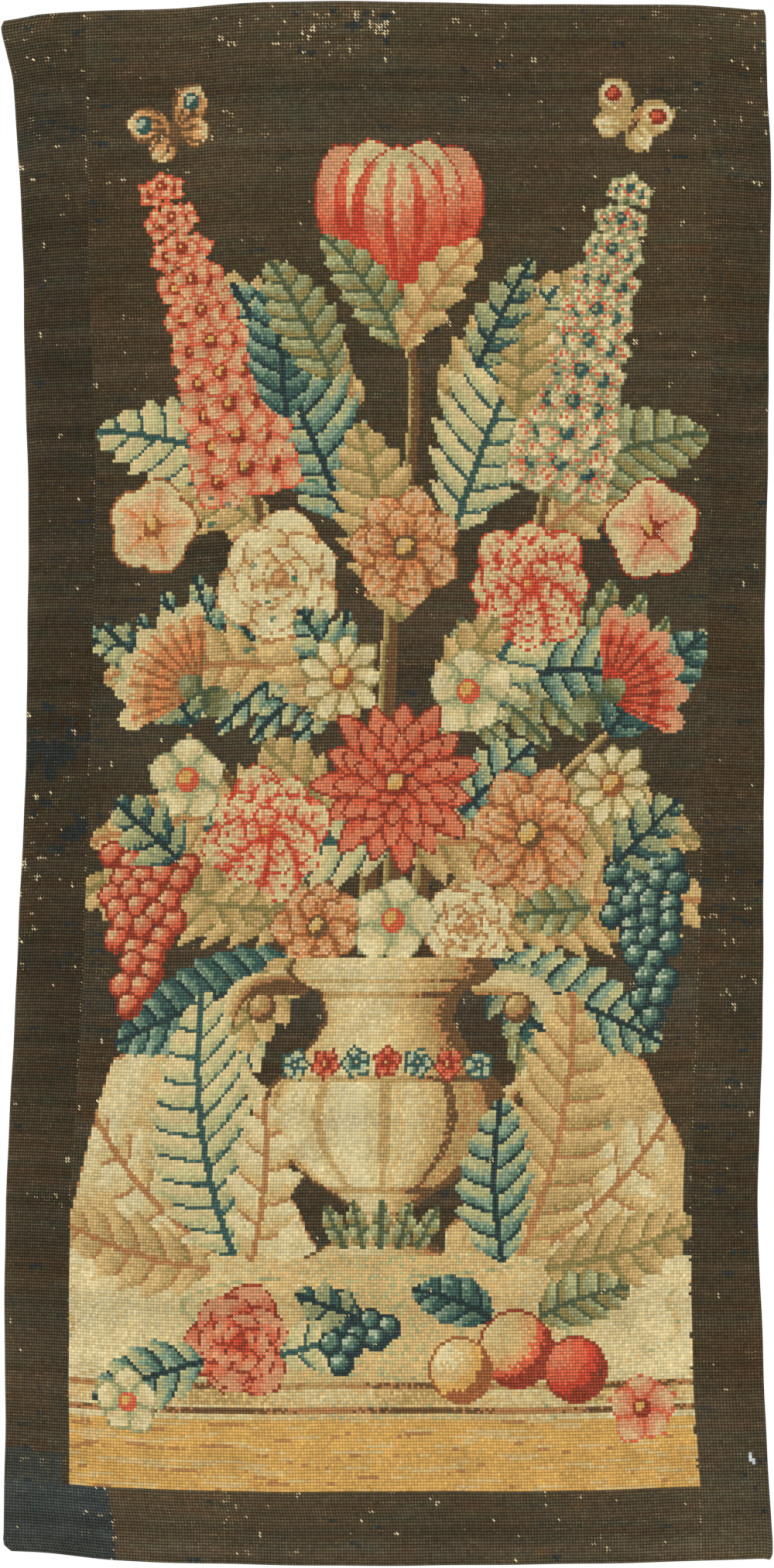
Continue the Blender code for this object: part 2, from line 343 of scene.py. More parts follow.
def spike(x, y, turn, length, size, kind, pairs=8, bend=0.0):
    """A flower spike: little blossoms either side of a stalk, smaller towards its tip."""
    a = radians(turn)
    places = rib_points(x, y, turn, length, bend, pairs)
    stem(places, 2.0, "pine moss", 0.4)
    for i, (px, py) in enumerate(places):
        small = size * (1 - 0.62 * i / pairs)
        for side in (-1, 1, 0):
            off = side * small * 0.95
            lean = turn + side * 60 + 25 * i
            bloom(px + off * cos(a), py + off * sin(a) + 1.5 * abs(side), small, kind, lean)


def cluster(x, y, width, height, radius, wools, turn=0.0):
    """Hanging grapes or berries in rows that narrow downwards."""
    rows = int(height / (radius * 1.6))
    a = radians(turn)
    for j in range(rows):
        wide = width * (1 - 0.85 * (j / max(1, rows - 1)) ** 1.3)
        count = max(1, int(wide / (radius * 1.8)) + 1)
        for i in range(count):
            dx = (i - (count - 1) / 2) * radius * 1.85 + radius * 0.5 * sin(2.3 * j)
            dy = j * radius * 1.6 + radius * 0.5 * sin(1.7 * i + j)
            ball(x + dx * cos(a) - dy * sin(a), y + dx * sin(a) + dy * cos(a), radius, wools)


def tulip(x, y, turn, size, wools, flame):
    """A cup of five petals, the front three flamed."""
    for lean, reach in ((-26, 0.96), (26, 0.96), (-13, 0.92), (13, 0.92), (0, 0.86)):
        look = (wools, 1.1, 0) if abs(lean) > 20 else (flame, 1.1, 3)
        petal(x, y, turn + lean, size * reach, size * 0.30, *look)


def fan(x, y, turn, size, wools, teeth=9):
    """A pink: a fan of petals with a toothed edge over a green cup."""
    spot, dx, dy = near(x, y, size + 2)
    along, across = turned(dx, dy, turn)
    away = np.hypot(along, across) / size
    angle = np.arctan2(across, along)
    inside = (away < 0.86 + 0.14 * np.abs(np.sin(angle * teeth))) & (np.abs(angle) < 1.05) & (away > 0.12)
    ray = part_of(angle * teeth / pi * 1.5)
    shade = away - 0.40 * (ray < 0.3) * (away < 0.85) - 0.25 * (np.abs(away - 0.62) < 0.05)
    lay(spot, inside, shade, wools)
    petal(x, y, turn + 180, size * 0.42, size * 0.17, "pine moss sage", 0.9, 0, False)
    petal(x, y, turn, size * 0.3, size * 0.14, "pine moss sage", 0.9, 0, False)


def trumpet(x, y, radius, wools, turn=0):
    """An open trumpet of five joined lobes with rays from its throat."""
    spot, dx, dy = near(x, y, radius + 2)
    away = np.hypot(dx, dy) / radius
    angle = np.arctan2(dx, -dy) - radians(turn)
    lobes = 0.84 + 0.16 * np.abs(np.cos(angle * 2.5))
    ray = np.abs(np.sin(angle * 2.5)) < 0.16 + 0.12 * away
    lay(spot, away < lobes + 0.9 / radius, np.zeros_like(away), wools.split()[0])
    shade = 0.25 + 0.75 * away / lobes - 0.30 * ray * (away > 0.2) - 0.5 * (away < 0.2)
    lay(spot, away < lobes, np.where(away > lobes * 0.86, 0.95, shade), wools)
    petal(x, y + radius * 0.1, turn - 25, radius * 0.45, 1.4, "ochre straw", 1.0, 0, False)


def butterfly(x, y, size, turn, wools, spots):
    """Four wings and a body."""
    for side in (-1, 1):
        petal(x, y, turn + side * 55, size, size * 0.34, wools, 1.5, 3)
        petal(x, y, turn + side * 118, size * 0.72, size * 0.27, wools, 1.4, 2)
        a = radians(turn + side * 55)
        ball(x + 0.68 * size * sin(a), y - 0.68 * size * cos(a), size * 0.09 + 0.5, spots)
    petal(x, y + size * 0.3, turn, size * 0.75, 1.2, "umber clay", 1.0, 0, False)


def urn(x, top, height):
    """A footed urn with a gadrooned belly, two scrolled handles and a rolled rim."""
    # The columns are the share of the height down and the half width in stitches.
    down, half = np.array(URN).T
    for side in (-1, 1):
        handle = [(x + side * across, top + share * height) for across, share in HANDLE]
        stem(handle, 7, "umber clay gold straw cream", 0.25)
        ball(x + side * 44, top + 0.16 * height, 4.2, "umber clay gold straw")
    dx, dy = COLUMN - x, (ROW - top) / height
    wide = np.interp(dy, down, half)
    over = dx / wide
    shade = 0.80 - 0.55 * (over + 0.25) ** 2 - 0.10 * over
    rib = np.abs(np.sin(np.arcsin(over.clip(-1, 1)) * 5.5))
    belly = (dy > 0.40) & (dy < 0.74)
    shade = np.where(belly, shade - 0.32 * (rib < 0.25) + 0.12 * (rib > 0.8), shade)
    for share in (0.075, 0.117, 0.39, 0.75, 0.825, 0.86, 0.92):
        shade = np.where(np.abs(dy - share) * height < 0.9, shade - 0.35, shade)
    shade = np.where(np.abs(over) > 1 - 1.6 / wide, 0.02, shade)
    inside = (np.abs(dx) < wide) & (dy > 0) & (dy < 1)
    lay(ALL_CELLS, inside, shade, "umber clay gold sand straw cream ivory")
    for k in range(-3, 4):
        bloom(x + 10.5 * k, top + 0.335 * height + 0.35 * abs(k), 4.4, "bluet" if k % 2 else "ember", 20 * k)
    for k in range(-2, 3):
        leaf(x + 6 * k, top + 0.94 * height, 14 * k, 16, 4, "moss")


URN = (
    (0.0, 34), (0.042, 36), (0.075, 33), (0.108, 25), (0.2, 22), (0.283, 27), (0.417, 40), (0.517, 43),
    (0.617, 38), (0.717, 25), (0.783, 14), (0.825, 9), (0.858, 12), (0.892, 9), (0.917, 17), (0.967, 26),
    (1.0, 27),
)
HANDLE = ((31, 0.08), (50, 0.10), (57, 0.24), (50, 0.37), (41, 0.46))


def bank(tops, wools):
    """A pale mass with a ragged top through the given points, its tones in broken patches."""
    xs, ys = np.array(tops, float).T
    edge = np.interp(COLUMN, xs, ys) + 1.8 * np.sin(COLUMN / 2.1) + 1.2 * np.sin(COLUMN / 5.7)
    inside = (ROW > edge) & (COLUMN > xs[0]) & (COLUMN < xs[-1])
    tone = 0.6 + 0.28 * np.sin(COLUMN / 9 + ROW / 37) * np.sin(ROW / 21 + COLUMN / 29)
    tone = tone + 0.2 * np.sin((ROW + 2 * COLUMN) / 17)
    lay(ALL_CELLS, inside, np.where(ROW - edge < 1.4, 0.1, tone), wools)


# A moulding's share of the ledge's height, its half height in stitches and its wools
MOULDINGS = ((0.56, 1.2, "umber clay gold"), (0.60, 2.2, "gold straw cream"), (0.66, 1.2, "umber clay"))


def ledge(top, bottom):
    """A stone ledge across the whole chart, with mouldings and an ochre foot."""
    height = bottom - top
    wave = 0.9 * np.sin(COLUMN / 17) + 0.7 * np.sin(COLUMN / 7.3 + 1)
    vein = np.abs(np.sin(COLUMN / 23 + ROW / 9 + 1.4 * np.sin(COLUMN / 31) + 0.8 * np.sin(ROW / 5)))
    face = 0.66 + 0.20 * np.sin(COLUMN / 40 + 2) - 0.34 * (vein < 0.07)
    lay(ALL_CELLS, ROW + wave > top, face, "sage celadon straw cream ivory", 0.12)
    for share, wide, wools in MOULDINGS:
        tone = 0.5 + 0.3 * np.sin(COLUMN / 11)
        lay(ALL_CELLS, np.abs(ROW - top - share * height) < wide, tone, wools, 0.25)
    foot = ROW > top + 0.70 * height
    grain = part_of(ROW / 7.3 + 0.35 * np.sin(COLUMN / 19) + 0.2 * np.sin(COLUMN / 7))
    tone = 0.34 + 0.5 * grain + 0.34 * STREAKS
    lay(ALL_CELLS, foot, tone, "clay ochre ochre ochre ochre straw", 0.04)


CREAMS = "clay sand straw cream ivory cream"
STONES = "clay gold sand straw cream"
REDS = "maroon red coral salmon pink"
FLAMES = "red coral salmon blush cream"
PEACHES = "rust clay orange apricot cream"
WOODS = "umber olive gold sand"
GRAPES = "navy teal sea sky"
BERRIES = "maroon coral salmon blush"

# The bunch and its urn, from the back to the front, in groups by what draws them. A row says where and how
# in that function's own terms.
PICTURE = (
    (bank, (
        (((0, 392), (5, 366), (12, 340), (26, 326), (44, 340), (60, 366), (84, 398)), CREAMS),
        (((128, 398), (150, 372), (166, 342), (188, 334), (200, 352), (209, 374)), STONES),
    )),
    # Leaves at the back
    (leaf, (
        (92, 130, -48, 74, 15, "tan", -0.12), (118, 130, 46, 72, 15, "gold", 0.12),
        (60, 170, -58, 56, 15, "gold", 0.10), (152, 172, 56, 56, 15, "tan", -0.10),
    )),
    (frond, (
        (88, 222, -66, 78, 32, "sea", 7, -0.22), (126, 224, 66, 78, 32, "moss", 7, 0.22),
    )),
    (leaf, (
        (78, 262, -84, 76, 17, "tan", -0.22), (134, 262, 84, 76, 17, "gold", 0.22),
        (84, 296, -72, 86, 19, "gold", -0.20), (130, 298, 74, 86, 19, "tan", 0.20),
        (78, 312, -102, 70, 15, "blue", -0.14), (134, 312, 102, 70, 15, "sea", 0.14),
        (64, 330, -128, 52, 14, "pale", -0.2), (148, 330, 128, 52, 14, "moss", 0.2),
    )),
    # Stalks
    (stem, (
        (((106, 290), (102, 210), (110, 130), (104, 84)), 6, WOODS),
        (((98, 290), (86, 220), (58, 170), (50, 120)), 6, WOODS),
        (((114, 290), (128, 220), (152, 170), (160, 122)), 6, WOODS),
        (((94, 296), (60, 262), (34, 236)), 5, WOODS), (((118, 296), (150, 262), (178, 236)), 5, WOODS),
    )),
    # Leaves of the upper half
    (leaf, (
        (86, 168, -20, 86, 21, "sea", -0.10), (124, 170, 18, 86, 21, "pale", 0.10),
        (60, 152, -64, 60, 17, "pale", -0.20), (152, 156, 62, 60, 17, "moss", 0.20),
        (106, 200, -10, 66, 17, "gold", -0.06), (64, 214, -86, 60, 16, "tan", -0.12),
        (148, 216, 86, 60, 16, "sea", 0.12), (92, 232, -42, 56, 16, "tan", 0.05),
        (122, 234, 40, 56, 16, "pale", -0.05),
    )),
    (spike, (
        (52, 150, -14, 96, 10, "floret", 9, -0.04), (160, 148, 13, 92, 10, "bell", 9, 0.04),
    )),
    (leaf, (
        (66, 134, -4, 46, 12, "blue"), (146, 134, 2, 46, 12, "gold"), (82, 122, -22, 44, 12, "moss", -0.1),
        (132, 118, 22, 40, 10, "vine", 0.1),
    )),
    (tulip, ((106, 92, 0, 52, REDS, FLAMES),)),
    (leaf, (
        (106, 112, -24, 44, 10, "moss", -0.2), (106, 112, 26, 44, 10, "tan", 0.2),
    )),
    (butterfly, (
        (30, 40, 16, -24, "umber clay apricot cream", "teal sky"),
        (184, 38, 15, 26, "gold sand cream ivory", "maroon coral"),
    )),
    # The flowers, with leaves between them
    (trumpet, (
        (20, 168, 15, "rust orange apricot blush cream", 12),
        (192, 170, 16, "maroon salmon pink blush cream", -8),
    )),
    (leaf, (
        (36, 232, -40, 46, 13, "vine", -0.1), (178, 236, 40, 46, 13, "blue", 0.1),
    )),
    (fan, (
        (38, 222, -58, 30, PEACHES), (176, 224, 58, 30, REDS),
    )),
    (bloom, (
        (64, 186, 21, "pale_rose", 10), (150, 188, 21, "peony", 0), (107, 176, 19, "orange", 15),
    )),
    (leaf, (
        (90, 224, -34, 34, 11, "sea"), (120, 226, 34, 34, 11, "gold"),
    )),
    (bloom, (
        (86, 218, 14, "daisy", 8), (130, 222, 14, "snow", 0),
    )),
    (leaf, (
        (106, 270, -94, 66, 17, "pale", 0.14), (106, 270, 94, 66, 17, "tan", -0.14),
        (84, 262, -46, 34, 12, "gold"), (128, 262, 46, 34, 12, "sea"),
    )),
    (bloom, (
        (106, 252, 27, "dahlia", 5), (62, 268, 21, "peony", 30), (152, 268, 21, "orange", 24),
        (34, 250, 13, "snow", 0), (180, 252, 13, "daisy", 0),
    )),
    (cluster, (
        (22, 276, 26, 56, 3.6, BERRIES, 6), (192, 280, 24, 54, 3.6, GRAPES, -6),
    )),
    (leaf, (
        (32, 276, -50, 30, 12, "vine"), (182, 278, 46, 30, 12, "vine"), (40, 290, 96, 26, 9, "gold"),
        (174, 292, -94, 26, 9, "moss"),
    )),
    (bloom, (
        (80, 298, 15, "orange", 12), (132, 298, 15, "pale_rose", 12), (106, 296, 14, "snow", 12),
    )),
    (leaf, (
        (72, 308, -150, 42, 12, "gold", 0.2), (140, 308, 150, 42, 12, "vine", -0.2),
    )),
    (urn, ((106, 308, 100),)),
    (ledge, ((404, 480),)),
    # Scrolled leaves either side of the urn
    (leaf, (
        (50, 402, -62, 58, 17, "acanthus", 0.30), (56, 404, -24, 84, 21, "pale", 0.25),
        (48, 408, -86, 52, 14, "tan", 0.2), (62, 406, 14, 52, 14, "acanthus", -0.20),
        (160, 402, 62, 58, 17, "acanthus", -0.30), (154, 404, 24, 84, 21, "tan", -0.25),
        (162, 408, 86, 52, 14, "gold", -0.2), (148, 406, -14, 52, 14, "sea", 0.20),
    )),
    # Fruit and fallen flowers on the ledge
    (bloom, ((58, 432, 18, "rose", 20),)),
    (leaf, (
        (46, 438, -104, 40, 12, "sea", -0.1), (72, 436, 74, 30, 10, "pale", 0.1),
    )),
    (ball, (
        (152, 434, 12, "maroon coral apricot straw cream"), (133, 441, 10, "rust ochre straw ivory"),
        (172, 441, 10, "maroon red coral salmon"),
    )),
    (leaf, (
        (160, 424, 62, 32, 10, "moss", 0.2), (144, 424, -60, 28, 9, "blue", -0.2),
    )),
    (cluster, ((100, 424, 22, 26, 3.4, GRAPES, 30),)),
    (leaf, ((98, 424, -70, 22, 9, "vine"),)),
    (bloom, (
        (20, 452, 10, "snow", 0), (194, 454, 11, "floret", 0),
    )),
)

# Where the wool is worn through to the cream canvas: across and down from and to, in mm, the share of
# stitches that start a worn run there, the longest run, and the faintest and strongest wear
WORN = (
    (-330, 0, 330, 1340, 0.0020, 2, 0.4, 1.0), (-330, 0, 330, 1340, 0.0005, 1, 0.8, 1.0),
    (-330, 0, 330, 1340, 0.0140, 5, 0.05, 0.22), (-330, 0, 330, 120, 0.0062, 3, 0.1, 0.6),
    (-175, 27, -106, 51, 0.012, 3, 0.5, 1.0), (-175, 20, -106, 51, 0.020, 6, 0.15, 0.45),
    (-106, 5, 4, 46, 0.016, 3, 0.5, 1.0), (-16, 5, 2, 34, 0.045, 2, 0.7, 1.0),
    (-106, 5, 2, 50, 0.032, 9, 0.15, 0.45), (2, 4, 60, 30, 0.010, 3, 0.3, 0.9),
    (284, 9, 322, 30, 0.020, 3, 0.3, 0.9), (300, 30, 326, 120, 0.016, 3, 0.2, 0.8),
    (-328, 32, -290, 54, 0.030, 3, 0.2, 0.8), (270, 756, 323, 866, 0.014, 3, 0.3, 1.0),
    (-312, 690, -286, 790, 0.006, 2, 0.3, 0.7), (-262, 936, -256, 944, 0.15, 2, 0.6, 1.0),
    (-276, 984, -270, 994, 0.12, 2, 0.6, 1.0), (-322, 1238, -308, 1243, 0.15, 4, 0.3, 0.6),
    (-250, 1266, -246, 1271, 0.4, 1, 0.7, 1.0), (-261, 1287, -257, 1292, 0.4, 1, 0.6, 1.0),
    (-236, 1284, -231, 1331, 0.16, 1, 0.4, 1.0), (-140, 1268, -134, 1300, 0.22, 1, 0.3, 1.0),
    (-134, 1284, -118, 1300, 0.03, 2, 0.3, 1.0),
)

# Seams where the turned stitches have rubbed through: the curve, down from and to, and the share of them
RUBBED = ((left_seam, 380, 1262, 0.25), (right_seam, 690, 1334, 0.5), (patch_seam, 1270, 1331, 0.5))

# Where the ground is darned in dark wool, in the same columns
DARNED = (
    (-330, 0, 330, 1340, 0.0022, 5, 0.5, 1.0), (-330, 14, -225, 125, 0.006, 6, 0.5, 1.0),
    (-310, 190, -255, 225, 0.014, 5, 0.6, 1.0), (-310, 340, -240, 480, 0.006, 6, 0.5, 1.0),
    (-312, 580, -244, 840, 0.006, 4, 0.6, 1.0), (-330, 860, -262, 1000, 0.005, 4, 0.5, 1.0),
    (-106, 5, 2, 50, 0.008, 6, 0.7, 1.0), (-52, 9, -18, 20, 0.07, 4, 0.8, 1.0),
    (-16, 5, 2, 36, 0.04, 3, 0.8, 1.0), (262, 700, 323, 1100, 0.007, 4, 0.5, 1.0),
    (-302, 1200, -290, 1206, 0.08, 3, 0.8, 1.0),
)

# Larger repairs in dark wool on the left strip: the middle across and down in mm, the lean in degrees up
# from the level, and the half length and width
REPAIRS = (
    (-282, 641, 0, 15, 11), (-302, 634, 0, 8, 6), (-304, 646, 90, 9, 4), (-270, 622, 85, 13, 4),
    (-256, 628, 12, 11, 3), (-288, 657, 90, 9, 6.5), (-308, 666, 90, 7, 2), (-290, 683, 0, 7, 4),
    (-261, 697, -35, 9, 4), (-262, 708, 38, 11, 5), (-281, 722, 20, 8, 3.5), (-274, 710, 38, 8, 5),
    (-289, 602, 0, 7, 3),
)

# Faint rust stains on the bottom strip, in the same columns
STAINS = ((163, 1283, 0, 8, 3.5), (132, 1322, 0, 7, 4), (172, 1297, 0, 3, 3), (-252, 1300, 0, 9, 4))

# A pale scrap of wool on the right strip, in the same columns
PALE_SCRAP = (311.2, 1243.5, -68, 5.6, 2.0)

# Single places worn to the canvas: the middle across and down, the width and the height, in mm
BARE = (
    (-304, 696, 5, 3), (-289, 701, 2, 4), (-295, 730, 9, 4), (-283, 727, 2, 3), (-309, 736, 5, 11),
    (-298, 747, 5, 5), (-278, 749, 3, 3), (-268, 754, 2, 4), (-248, 746, 3, 4), (-295, 764, 4, 3),
    (-301, 790, 6, 4), (-312, 801, 5, 4), (-311, 821, 3, 5), (-266, 822, 3, 3), (-246, 832, 4, 2),
    (-305, 609, 4, 4), (-299, 679, 5, 6), (-287, 676, 3, 4), (-272, 663, 3, 4), (-245, 655, 4, 3),
    (136, 1272, 2, 5), (136, 1283, 2, 3), (92, 1296, 3, 4), (68, 1303, 3, 3), (111, 1308, 3, 3),
    (110, 1329, 3, 4), (165, 1275, 3, 4), (196, 1279, 3, 3), (183, 1309, 2, 4), (188, 1320, 4, 5),
    (147, 1294, 2, 3), (-145, 16, 6, 3), (-125, 19, 4, 6), (-111, 15, 4, 4), (-88, 18, 3, 5),
    (-63, 24, 5, 8), (-73, 28, 3, 5), (-67, 30, 5, 3), (-51, 12, 3, 5), (-26, 12, 5, 9), (-14, 20, 4, 8),
    (-7, 24, 8, 9), (-3, 28, 5, 4), (5, 9, 4, 5), (-32, 42, 4, 6), (-1, 50, 4, 6), (52, 24, 3, 5),
    (71, 21, 3, 3), (75, 28, 4, 3), (101, 20, 2, 4), (106, 46, 3, 2), (96, 50, 3, 2), (-48, 45, 4, 4),
    (-92, 29, 4, 3), (-71, 44, 4, 4), (305, 13, 4, 5), (300, 19, 7, 3), (313, 11, 5, 3), (313, 19, 3, 3),
    (295, 50, 5, 3), (303, 53, 4, 3), (308, 57, 4, 3), (315, 39, 2, 6), (323, 96, 4, 8), (324, 112, 3, 5),
    (279, 103, 2, 6), (262, 115, 3, 6), (239, 129, 3, 3), (252, 160, 3, 4), (313, 155, 4, 3),
    (-324, 34, 4, 4), (-301, 50, 3, 3), (-289, 50, 4, 4), (-258, 13, 3, 3), (-302, 26, 3, 3),
    (-274, 43, 3, 3), (-311, 143, 5, 5), (-238, 156, 3, 3), (-251, 155, 3, 3), (-277, 157, 3, 3),
    (-256, 141, 2, 14),
)

# Where the picture is mended in green wool, in the worn places' columns
MENDED = ((-190, 395, -60, 560, 0.006, 4, 0.6, 1.0),)

DARNING, MENDING = (42, 51, 54), (58, 100, 80)
SEAM_CATCH = 2.4  # how far in from the right seam the picture is caught under dark wool here and there

# Where the ground has faded more, in mm: across and down to the middle, the half width and height, and by
# how much
FADED = (
    (265, 1290, 30, 45, 5), (300, 1322, 45, 28, 10), (-190, 1290, 120, 34, 3), (80, 1312, 40, 20, -6),
    (-300, 1130, 60, 90, 5), (-262, 640, 70, 480, -6), (-306, 18, 44, 20, 10), (305, 28, 30, 24, 6),
    (15, 44, 32, 12, 6), (165, 28, 50, 26, -5), (293, 600, 40, 40, 5), (293, 375, 40, 35, -5),
)
# Where its brown is redder, in the same columns: by how much the red rises over the green
REDDENED = (
    (130, 95, 130, 60, 3), (197, 56, 35, 20, 3), (156, 26, 50, 12, -4), (-288, 78, 30, 45, -2),
    (-190, 66, 80, 40, 2), (40, 780, 190, 380, 4), (-200, 250, 60, 200, 2), (-215, 865, 60, 60, 4),
    (306, 1158, 30, 35, 4), (296, 626, 35, 70, 3), (-140, 1310, 150, 60, 2), (-304, 1190, 30, 30, 3),
)
GROUND_NOISE, WOOL_NOISE = 0.05, 0.04


def drift(draw, count, run):
    """Noise along a line of stitches that stays alike over this many of them."""
    knots = draw.normal(0, 1, count // run + 3)
    return np.interp(np.arange(count) / run, np.arange(len(knots)), knots)


def mottle(draw, shape, run):
    """Noise over a field of stitches, in patches of about this many each way."""
    knots = draw.normal(0, 1, (shape[0] // run + 3, shape[1] // run + 3))
    down, across = np.arange(shape[0]) / run, np.arange(shape[1]) / run
    i, j = down.astype(int)[:, None], across.astype(int)[None, :]
    s, t = (down % 1)[:, None], (across % 1)[None, :]
    upper = knots[i, j] * (1 - t) + knots[i, j + 1] * t
    lower = knots[i + 1, j] * (1 - t) + knots[i + 1, j + 1] * t
    return upper * (1 - s) + lower * s


def along_rows(draw, shape, run):
    """Noise that stays alike along a row over this many stitches and changes from row to row."""
    return np.repeat(draw.normal(0, 1, (shape[0], shape[1] // run + 1)), run, axis=1)[:, :shape[1]]


def within(across, down, box):
    return (across > box[0]) & (down > box[1]) & (across < box[2]) & (down < box[3])


def runs(draw, across, down, table):
    """Runs of stitches along their rows, scattered as the table says, each with its own strength."""
    shape = across.shape
    total = np.zeros(shape)
    for *box, share, longest, faintest, strongest in table:
        start = within(across, down, box) & (draw.random(shape) < share)
        strength = np.where(start, draw.uniform(faintest, strongest, shape), 0)
        length = draw.integers(1, longest + 1, shape)
        for k in range(longest):
            on = np.roll(strength * (length > k), k, axis=1)
            total = np.maximum(total, on * draw.uniform(0.5, 1, shape))
            below = np.roll(on * (draw.random(shape) < 0.3), 1, axis=0)
            total = np.maximum(total, below * 0.8)
    return total


def near_middle(across, down, x, y, wide, tall):
    """1 at a place, falling smoothly to about a third at this distance from it each way."""
    return np.exp(-(((across - x) / wide) ** 2) - ((down - y) / tall) ** 2)


def tint(amount, red, green, blue):
    """An amount of a colour at each place."""
    return amount[..., None] * np.array((red, green, blue))


def ground(draw, across, down, base=(69, 61, 46)):
    """The brown-black wool, in lots that differ a little from row to row and place to place."""
    shape = across.shape
    faded_and_edge_lit = 11 * (np.exp(-down / 50) + ((down - 1150) / 170).clip(0, 1))
    faded_and_edge_lit = faded_and_edge_lit + sum(much * near_middle(across, down, *place) for *place, much in FADED)
    # Painted light: the ground is made lighter within a few mm of the outer edges, as light on the rolled
    # edges.
    from_edge = np.minimum(across - left_edge(down), right_edge(down) - across)
    faded_and_edge_lit = faded_and_edge_lit + 9 * np.exp(-from_edge.clip(0) / 4)
    redder = sum(much * near_middle(across, down, *place) for *place, much in REDDENED)
    colour = np.array(base, float) + tint(faded_and_edge_lit, 1.0, 0.9, 0.66)
    colour = colour + tint(redder, 0.66, -0.34, -0.5)
    rows = tint(drift(draw, shape[0], 4)[:, None], 2.8, 2.5, 2.2)
    warm = tint(drift(draw, shape[0], 14)[:, None], 1.3, 0.1, -1.0)
    patches = tint(mottle(draw, shape, 22), 2.9, 1.9, 1.1)
    streaks = mottle(draw, (shape[0], shape[1] // 6 + 3), 2).repeat(6, axis=1)[:, : shape[1], None]
    hues = np.roll(streaks, shape[0] // 2, axis=0) * np.array((1.6, -0.8, -1.1))
    lines = draw.normal(0, 1.6, (shape[0], 1, 1))
    return colour + rows + warm + patches + lines + hues + streaks * np.array((2.2, 1.7, 1.4))


def restitched(colour, mask, shade, draw):
    """The same stitches in another wool where the mask is true."""
    wool = np.array(shade, float) + mottle(draw, mask.shape, 5)[..., None] * 2.5
    return np.where(mask[..., None], wool, colour)


def from_middle(across, down, x, y, turn, length, width):
    """How far places are from the middle of a leaning ellipse, 1 being its edge."""
    a = radians(turn)
    along = (across - x) * cos(a) - (down - y) * sin(a)
    aside = (across - x) * sin(a) + (down - y) * cos(a)
    return (along / length) ** 2 + (aside / width) ** 2


def left_wool(draw, across, down):
    colour = ground(draw, across, down, (67, 59, 44))
    ragged = 0.25 * mottle(draw, across.shape, 4) + 0.35 * along_rows(draw, across.shape, 4)
    for place in REPAIRS:
        colour = restitched(colour, from_middle(across, down, *place) + ragged < 1, (47, 50, 46), draw)
    colour = restitched(colour, within(across, down, (-326, 1227, -290, 1236)), (75, 60, 44), draw)
    greenish = (down > 1232 + (across + 326) * 0.12) & (across < -277)
    return restitched(colour, greenish, (64, 66, 58), draw)


def right_wool(draw, across, down):
    colour = ground(draw, across, down, (69, 60, 44))
    scrap = from_middle(across, down, *PALE_SCRAP) < 1
    return restitched(colour, scrap, (200, 208, 208), draw)


def patch_wool(draw, across, down):
    colour = np.array((63, 67, 63.0)) + tint(mottle(draw, across.shape, 7), 2.5, 2.5, 3.0)
    bluer = tint(((across + 330) / 100 - (down - 1262) / 70).clip(-1, 1), -2.5, -1.0, 1.5)
    return colour + bluer + tint(drift(draw, across.shape[0], 2)[:, None], 2.5, 3.0, 2.8)


def bottom_wool(draw, across, down):
    colour = ground(draw, across, down)
    for place in STAINS:
        stained = (1.3 - from_middle(across, down, *place)).clip(0, 1)
        colour = colour + tint(stained, 9.0, -1.0, -5.0)
    return colour + tint(np.where(across < -137, 3.0, -1.0), 1.0, 0.9, 0.6)


def centre_wool(draw, across, down):
    for painter, rows in PICTURE:
        for row in rows:
            painter(*row)
    palette = np.array(list(WOOLS.values()), float)
    lots = 1 + 0.022 * drift(draw, DOWN, 4)[:, None, None] + 0.025 * mottle(draw, chart.shape, 7)[..., None]
    colour = ground(draw, across, down, (73, 64, 47))
    top_lot = (across > 2) & (down < 52)
    colour = colour + np.where(top_lot, -3.0, 0.5)[..., None]
    mended = runs(draw, across, down, MENDED)[..., None]
    picture = palette[chart] * lots
    picture = picture + (np.array(MENDING) - picture) * mended
    caught = (right_seam(down) - across < SEAM_CATCH) & (draw.random(chart.shape) < 0.18)
    return np.where(((chart == 0) | caught)[..., None], colour, picture)


def stitch_colours(draw, across, down, wool):
    """Each stitch's colour, as light, and how bare it is worn."""
    colour = wool(draw, across, down)
    dark = colour.mean(axis=2) < 95
    darned = runs(draw, across, down, DARNED) * dark
    colour = colour + (np.array(DARNING) - colour) * darned[..., None]
    noise = np.where(dark, GROUND_NOISE, WOOL_NOISE)[..., None]
    colour = colour * (1 + noise * draw.normal(0, 1, (*across.shape, 1)))
    bare = runs(draw, across, down, WORN)
    for x, y, width, height in BARE:
        away = from_middle(across, down, x, y, 0, width / 2, height / 2) * draw.uniform(0.5, 1.6, down.shape)
        bare = np.maximum(bare, (1.4 - away).clip(0, 1) * draw.uniform(0.45, 1, down.shape))
    for seam, start, stop, share in RUBBED:
        beside = (np.abs(seam(down) - across - 1.3) < 1.3) & (down > start) & (down < stop)
        rubbed = beside & (draw.random(down.shape) < share)
        bare = np.maximum(bare, rubbed * draw.uniform(0.05, 0.45, down.shape))
    bare = bare * np.where(dark, 1, 0.35)
    seen = (colour / 255).clip(0.01, 0.98)
    light = np.where(seen < 0.04045, seen / 12.92, ((seen + 0.055) / 1.055) ** 2.4)
    return np.dstack([light / BRIGHTENING, bare])


BRIGHTENING = 1.02  # the light that falls on the panel, as a share of the white behind it


def grid_lines(stitches, width, ends):
    """Grid lines across a piece in stitches: each second stitch, and finer ones where its ends turn back."""
    marks = list(range(0, stitches + 1, 2))
    for away, (turn, rounding, _) in ((lambda at: at, ends[0]), (lambda at: width - at, ends[1])):
        for at in (0.04 * rounding, 0.2 * rounding, 0.55 * rounding, rounding, turn, turn + STEP):
            marks.append(away(at) * stitches / width)
    lines = []
    for mark in sorted(marks):
        if not lines or mark - lines[-1] > 0.02:
            lines.append(mark)
    return np.array(lines)


